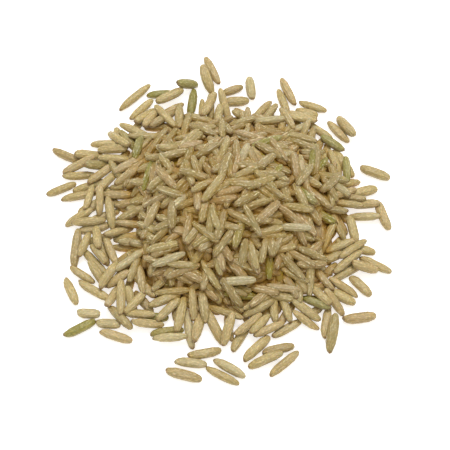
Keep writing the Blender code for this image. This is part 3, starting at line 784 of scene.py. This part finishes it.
def bran_colour(tree, pattern, finish):
    """The colour of the bran: the kernel's own tone, with its marks and its painted light and shade laid
    over it one after another.
    """
    in_open, depth = read_value(tree, "open"), read_value(tree, "depth")
    calm = between(tree, in_open, *CALM)
    in_ring = between(tree, in_open, *BEYOND_RING, in_open)
    lined = maths(tree, "MULTIPLY", between(tree, pattern.patches, *LINED), calm)
    # Where the painted highlight runs along the crests.
    crest_highlight = maths(tree, "MULTIPLY", between(tree, pattern.ribs, *ON_CREST), calm)
    layers = (
        (between(tree, read_value(tree, "blush"), *BLUSHED), BLUSH_COLOUR, "MIX"),
        (between(tree, pattern.patches, *CHALKED, finish.chalk), CHALK_COLOUR, "MIX"),
        # painted golden shade on the lower flanks
        (maths(tree, "MULTIPLY", between(tree, pattern.up, *ON_FLANK), calm), FLANK_SHADE_TINT, "MULTIPLY"),
        (maths(tree, "MULTIPLY", between(tree, pattern.ribs, *IN_GROOVE), lined), GROOVE_COLOUR, "MIX"),
        # painted pale sheen on the highest parts
        (between(tree, depth, *ON_TOP), TOP_SHEEN_COLOUR, "MIX"),
        # painted light on the body of a kernel in the open
        (between(tree, in_open, *IN_OPEN, finish.golden), OPEN_PAINTED_LIGHT_COLOUR, "MIX"),
        # painted shade on the lower rim of a kernel in the open
        (maths(tree, "MULTIPLY", between(tree, pattern.up, *ON_RIM), in_open), RIM_SHADE_COLOUR, "MIX"),
        # painted highlight along the crests
        (maths(tree, "MULTIPLY", between(tree, pattern.specks, *BROKEN), crest_highlight), CREST_HIGHLIGHT_COLOUR, "MIX"),
        # painted shade in the depths of the heap
        (maths(tree, "MULTIPLY", between(tree, depth, *DEEP_DOWN), calm), DEPTH_SHADE_COLOUR, "MIX"),
        # painted golden shade on the low parts in the ring
        (maths(tree, "MULTIPLY", between(tree, depth, *LOW_DOWN), in_ring), LOW_SHADE_COLOUR, "MIX"),
        (between(tree, read_value(tree, "along"), *AT_GERM), END_COLOUR, "MIX"),
    )
    colour = blend_colour(tree, read_value(tree, "tone"), finish.dark, finish.light)
    for share, laid, way in layers:
        colour = blend_colour(tree, share, colour, laid, way)
    # The streaks vary the tone, the specks add painted glints, and a kernel in the open gets painted
    # light.
    brightness_and_painted_light = maths(tree, "MULTIPLY", between(tree, pattern.streaks, *STREAK_LIGHT),
                between(tree, pattern.specks, *SPECK_GLINT_LIGHT))
    brightness_and_painted_light = maths(tree, "MULTIPLY", brightness_and_painted_light, between(tree, in_open, *OPEN_PAINTED_BRIGHTNESS))
    return lit_colour(tree, colour, brightness_and_painted_light)


print("the depths hold", round(DEPTH_SHADE_COLOUR[0] / DEPTH_SHADE_COLOUR[2]), "times as much red as blue")

# %% [markdown]
# ## The wax on it
# Bran is waxy, so it has a soft gloss, and the fine specks break that gloss into glints. The
# starch under it lets a little light through, warmer the further it goes.

# %% Make a bran
SPECK_GLOSS = (0.35, 0.65)
GLOSS_SPREAD = (-0.06, 0.10)
RIB_STRENGTH, RIB_RELIEF_MM = 0.7, 0.05
SPECK_STRENGTH, SPECK_RELIEF_MM = 1.0, 0.15
GLOW_WEIGHT = 0.25
GLOW_MM = (0.6, 0.3, 0.1)
WAX_IOR = 1.45
WAX_LEVEL = 0.5


def bran(name, finish):
    """A waxy bran of this finish, with ribs and specks in relief."""
    material = bpy.data.materials.new(name)
    material.use_nodes = True
    tree = material.node_tree
    inputs = tree.nodes["Principled BSDF"].inputs
    pattern = bran_pattern(tree)
    tree.links.new(bran_colour(tree, pattern, finish), inputs["Base Color"])
    rough = [finish.roughness + change for change in GLOSS_SPREAD]
    tree.links.new(between(tree, pattern.specks, *SPECK_GLOSS, *rough), inputs["Roughness"])
    ribbed = add_node(tree, "ShaderNodeBump", None, {
        "Height": pattern.ribs, "Strength": RIB_STRENGTH, "Distance": RIB_RELIEF_MM * MM})
    specked = add_node(tree, "ShaderNodeBump", None, {
        "Height": pattern.specks, "Strength": SPECK_STRENGTH, "Distance": SPECK_RELIEF_MM * MM,
        "Normal": ribbed.outputs["Normal"]})
    tree.links.new(specked.outputs["Normal"], inputs["Normal"])
    inputs["Subsurface Weight"].default_value = GLOW_WEIGHT
    inputs["Subsurface Radius"].default_value = GLOW_MM
    inputs["Subsurface Scale"].default_value = MM
    inputs["IOR"].default_value = WAX_IOR
    inputs["Specular IOR Level"].default_value = WAX_LEVEL
    return material


print("wax reflects", round(100 * ((WAX_IOR - 1) / (WAX_IOR + 1)) ** 2, 1), "% straight on")

# %% [markdown]
# ## Four kinds of kernel
# Each kind is one piece, so that each can have a finish of its own. The straw kernels carry
# most of the heap. Green ones are unripe, chalky ones are opaque and pale, and ruddy ones have
# kept more of the dark bran. The layer below is a fifth piece, in a duller straw.

# %% Make a piece for each kind
KINDS = (
    (STRAW, "straw", Finish((0.345, 0.242, 0.072), (0.495, 0.375, 0.138), 0.35, 0.35, 0.25)),
    (GREEN, "green", Finish((0.25, 0.22, 0.025), (0.32, 0.28, 0.04), 0.10, 0.0, 0.25)),
    (CHALKY, "chalky", Finish((0.46, 0.38, 0.18), (0.57, 0.48, 0.26), 0.60, 0.3, 0.32)),
    (RUDDY, "ruddy", Finish((0.34, 0.232, 0.08), (0.43, 0.305, 0.12), 0.10, 0.2, 0.25)),
)
SHADED = Finish((0.42, 0.29, 0.11), (0.52, 0.38, 0.16), 0.0, 0.0, 0.5)


def add_piece(mesh, material):
    """An object with this mesh and finish that goes wherever the part goes."""
    mesh.materials.append(material)
    piece = bpy.data.objects.new(mesh.name, mesh)
    bpy.context.scene.collection.objects.link(piece)
    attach(piece, "root")
    return piece


for kind, name, finish in KINDS:
    chosen = np.flatnonzero((grains[:, KIND] == kind) & ~in_shade)
    mesh = kernel_mesh(name + "_kernels", chosen)
    add_piece(mesh, bran(name + "_kernels_bran", finish))
    print(name, len(chosen))

shaded_mesh = kernel_mesh("shaded_kernels", np.flatnonzero(in_shade))
shaded = add_piece(shaded_mesh, bran("shaded_kernels_bran", SHADED))

# %% [markdown]
# ## The kernels that nobody sees
# Two layers of kernels cover the mound, and what lies deeper shows only as dark gaps. A dome painted the
# dark colour of bran in shade, which is painted shade, stands for all of it, out of the same height
# formula as the mound.
# Its surface is uneven, so that the gaps aren't all equally deep.

# %% Fill the middle of the heap
CORE_RINGS = 16
CORE_SIDES = 72
CORE_REACH = 0.83
CORE_SUNK = 3.1
CORE_LEAST = 0.1
RIPPLE = 0.25
RIPPLE_TURNS = 2.0
# Painted shade: the core is coloured as bran in shade.
CORE_SHADE_COLOUR = (0.20, 0.10, 0.025)
CORE_ROUGHNESS = 0.8
MOTTLE_SCALE = 700.0
MOTTLE_LIGHT = (0.35, 0.65, 0.6, 1.6)


def core_mesh():
    """A dome: height = mound height - depth + ripple * sin * sin, over a lobed disc, closed below."""
    bearing = 2 * math.pi * np.arange(CORE_SIDES)[None, :] / CORE_SIDES
    share = CORE_REACH * np.arange(1, CORE_RINGS + 1)[:, None] / CORE_RINGS
    out = share * lobed(MOUND_RADIUS, MOUND_LOBES, bearing)
    x, y = MOUND_MIDDLE[0] + out * np.cos(bearing), MOUND_MIDDLE[1] + out * np.sin(bearing)
    ripple = RIPPLE * np.sin(RIPPLE_TURNS * x) * np.sin(RIPPLE_TURNS * y)
    z = np.maximum(mound_height(x, y) - CORE_SUNK + ripple, CORE_LEAST)
    rings = np.stack([x, y, z], axis=2)
    foot = rings[-1:] * (1, 1, 0)
    under, top = (*MOUND_MIDDLE, 0.0), (*MOUND_MIDDLE, MOUND_HEIGHT - CORE_SUNK)
    points = np.vstack([[under], foot.reshape(-1, 3), rings[::-1].reshape(-1, 3), [top]])
    quads, triangles = tube_pattern(CORE_RINGS + 1, CORE_SIDES)
    mesh = bpy.data.meshes.new("hidden_core")
    mesh.from_pydata(in_part(points).tolist(), [], quads.tolist() + triangles.tolist())
    mesh.shade_smooth()
    return mesh


def shaded_core_bran():
    """Bran painted dark as shade, mottled by noise on the object's own coordinates."""
    material = bpy.data.materials.new("shaded_core_bran")
    material.use_nodes = True
    tree = material.node_tree
    inputs = tree.nodes["Principled BSDF"].inputs
    place = add_node(tree, "ShaderNodeTexCoord").outputs["Object"]
    cloud = noise(tree, place, PATCH_STRETCH, MOTTLE_SCALE, SPECK_DETAIL)
    mottled = lit_colour(tree, CORE_SHADE_COLOUR, between(tree, cloud, *MOTTLE_LIGHT))
    tree.links.new(mottled, inputs["Base Color"])
    inputs["Roughness"].default_value = CORE_ROUGHNESS
    return material


core = add_piece(core_mesh(), shaded_core_bran())
print("core faces", len(core.data.polygons))

# %% [markdown]
# ## Standing in for the solids
# The imported model has one solid for the mound and one for each kernel or group that lies clear of it.
# They stay as the collision shapes, and each is hidden behind the piece of its own kind. They are kept,
# and each of them is hidden.

# %% Hide the plain solids
for part in frame["record"]["subparts"]:
    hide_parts(part["node"])
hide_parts("rice_heap")
print(len(frame["nodes"]), "solids replaced")

# %% [markdown]
# ## The table and the light
# The rice lies on white, under a large soft lamp above and a little behind it, and an even sky
# fills in the rest. The picture has hardly any shadow on the table, as on a light table, so the
# card glows a little of itself, and the plain view transform leaves it pure white.

# %% Lay the table and light it
TABLE_HALF = 1.5
TABLE_WHITE = 0.90
TABLE_GLOW = 0.6
TABLE_ROUGHNESS = 0.9
WHITE = (1.0, 1.0, 1.0, 1.0)
SKY_STRENGTH = 0.64
LAMP_POWER = 2.7
LAMP_SIZE = 0.3
LAMP_PLACE = Vector((0.05, 0.30, 0.70))


def white_card():
    """Matt white that glows a little."""
    material = bpy.data.materials.new("white_card")
    material.use_nodes = True
    inputs = material.node_tree.nodes["Principled BSDF"].inputs
    inputs["Base Color"].default_value = (*[TABLE_WHITE] * 3, 1.0)
    inputs["Roughness"].default_value = TABLE_ROUGHNESS
    inputs["Emission Color"].default_value = WHITE
    inputs["Emission Strength"].default_value = TABLE_GLOW
    return material


def pale_table():
    """A flat square at the height that the rice lies on."""
    corners = TABLE_HALF * np.array([(-1, -1, 0), (1, -1, 0), (1, 1, 0), (-1, 1, 0)])
    mesh = bpy.data.meshes.new("table")
    mesh.from_pydata(corners.tolist(), [], [(0, 1, 2, 3)])
    mesh.materials.append(white_card())
    table = bpy.data.objects.new("table", mesh)
    bpy.context.scene.collection.objects.link(table)
    return table


def soft_lamp():
    """A large square lamp that points at the heap."""
    light = bpy.data.lights.new("soft_lamp", "AREA")
    light.energy = LAMP_POWER
    light.size = LAMP_SIZE
    look_from(bpy.data.objects.new("soft_lamp", light), LAMP_PLACE, Vector((0.0, 0.0, 0.0)))


def white_sky():
    """An even white sky."""
    world = bpy.data.worlds.new("white_sky")
    world.use_nodes = True
    inputs = world.node_tree.nodes["Background"].inputs
    inputs["Color"].default_value = WHITE
    inputs["Strength"].default_value = SKY_STRENGTH
    bpy.context.scene.world = world


pale_table()
soft_lamp()
white_sky()
bpy.context.scene.view_settings.view_transform = "Standard"
print("lamp", LAMP_POWER, "W")
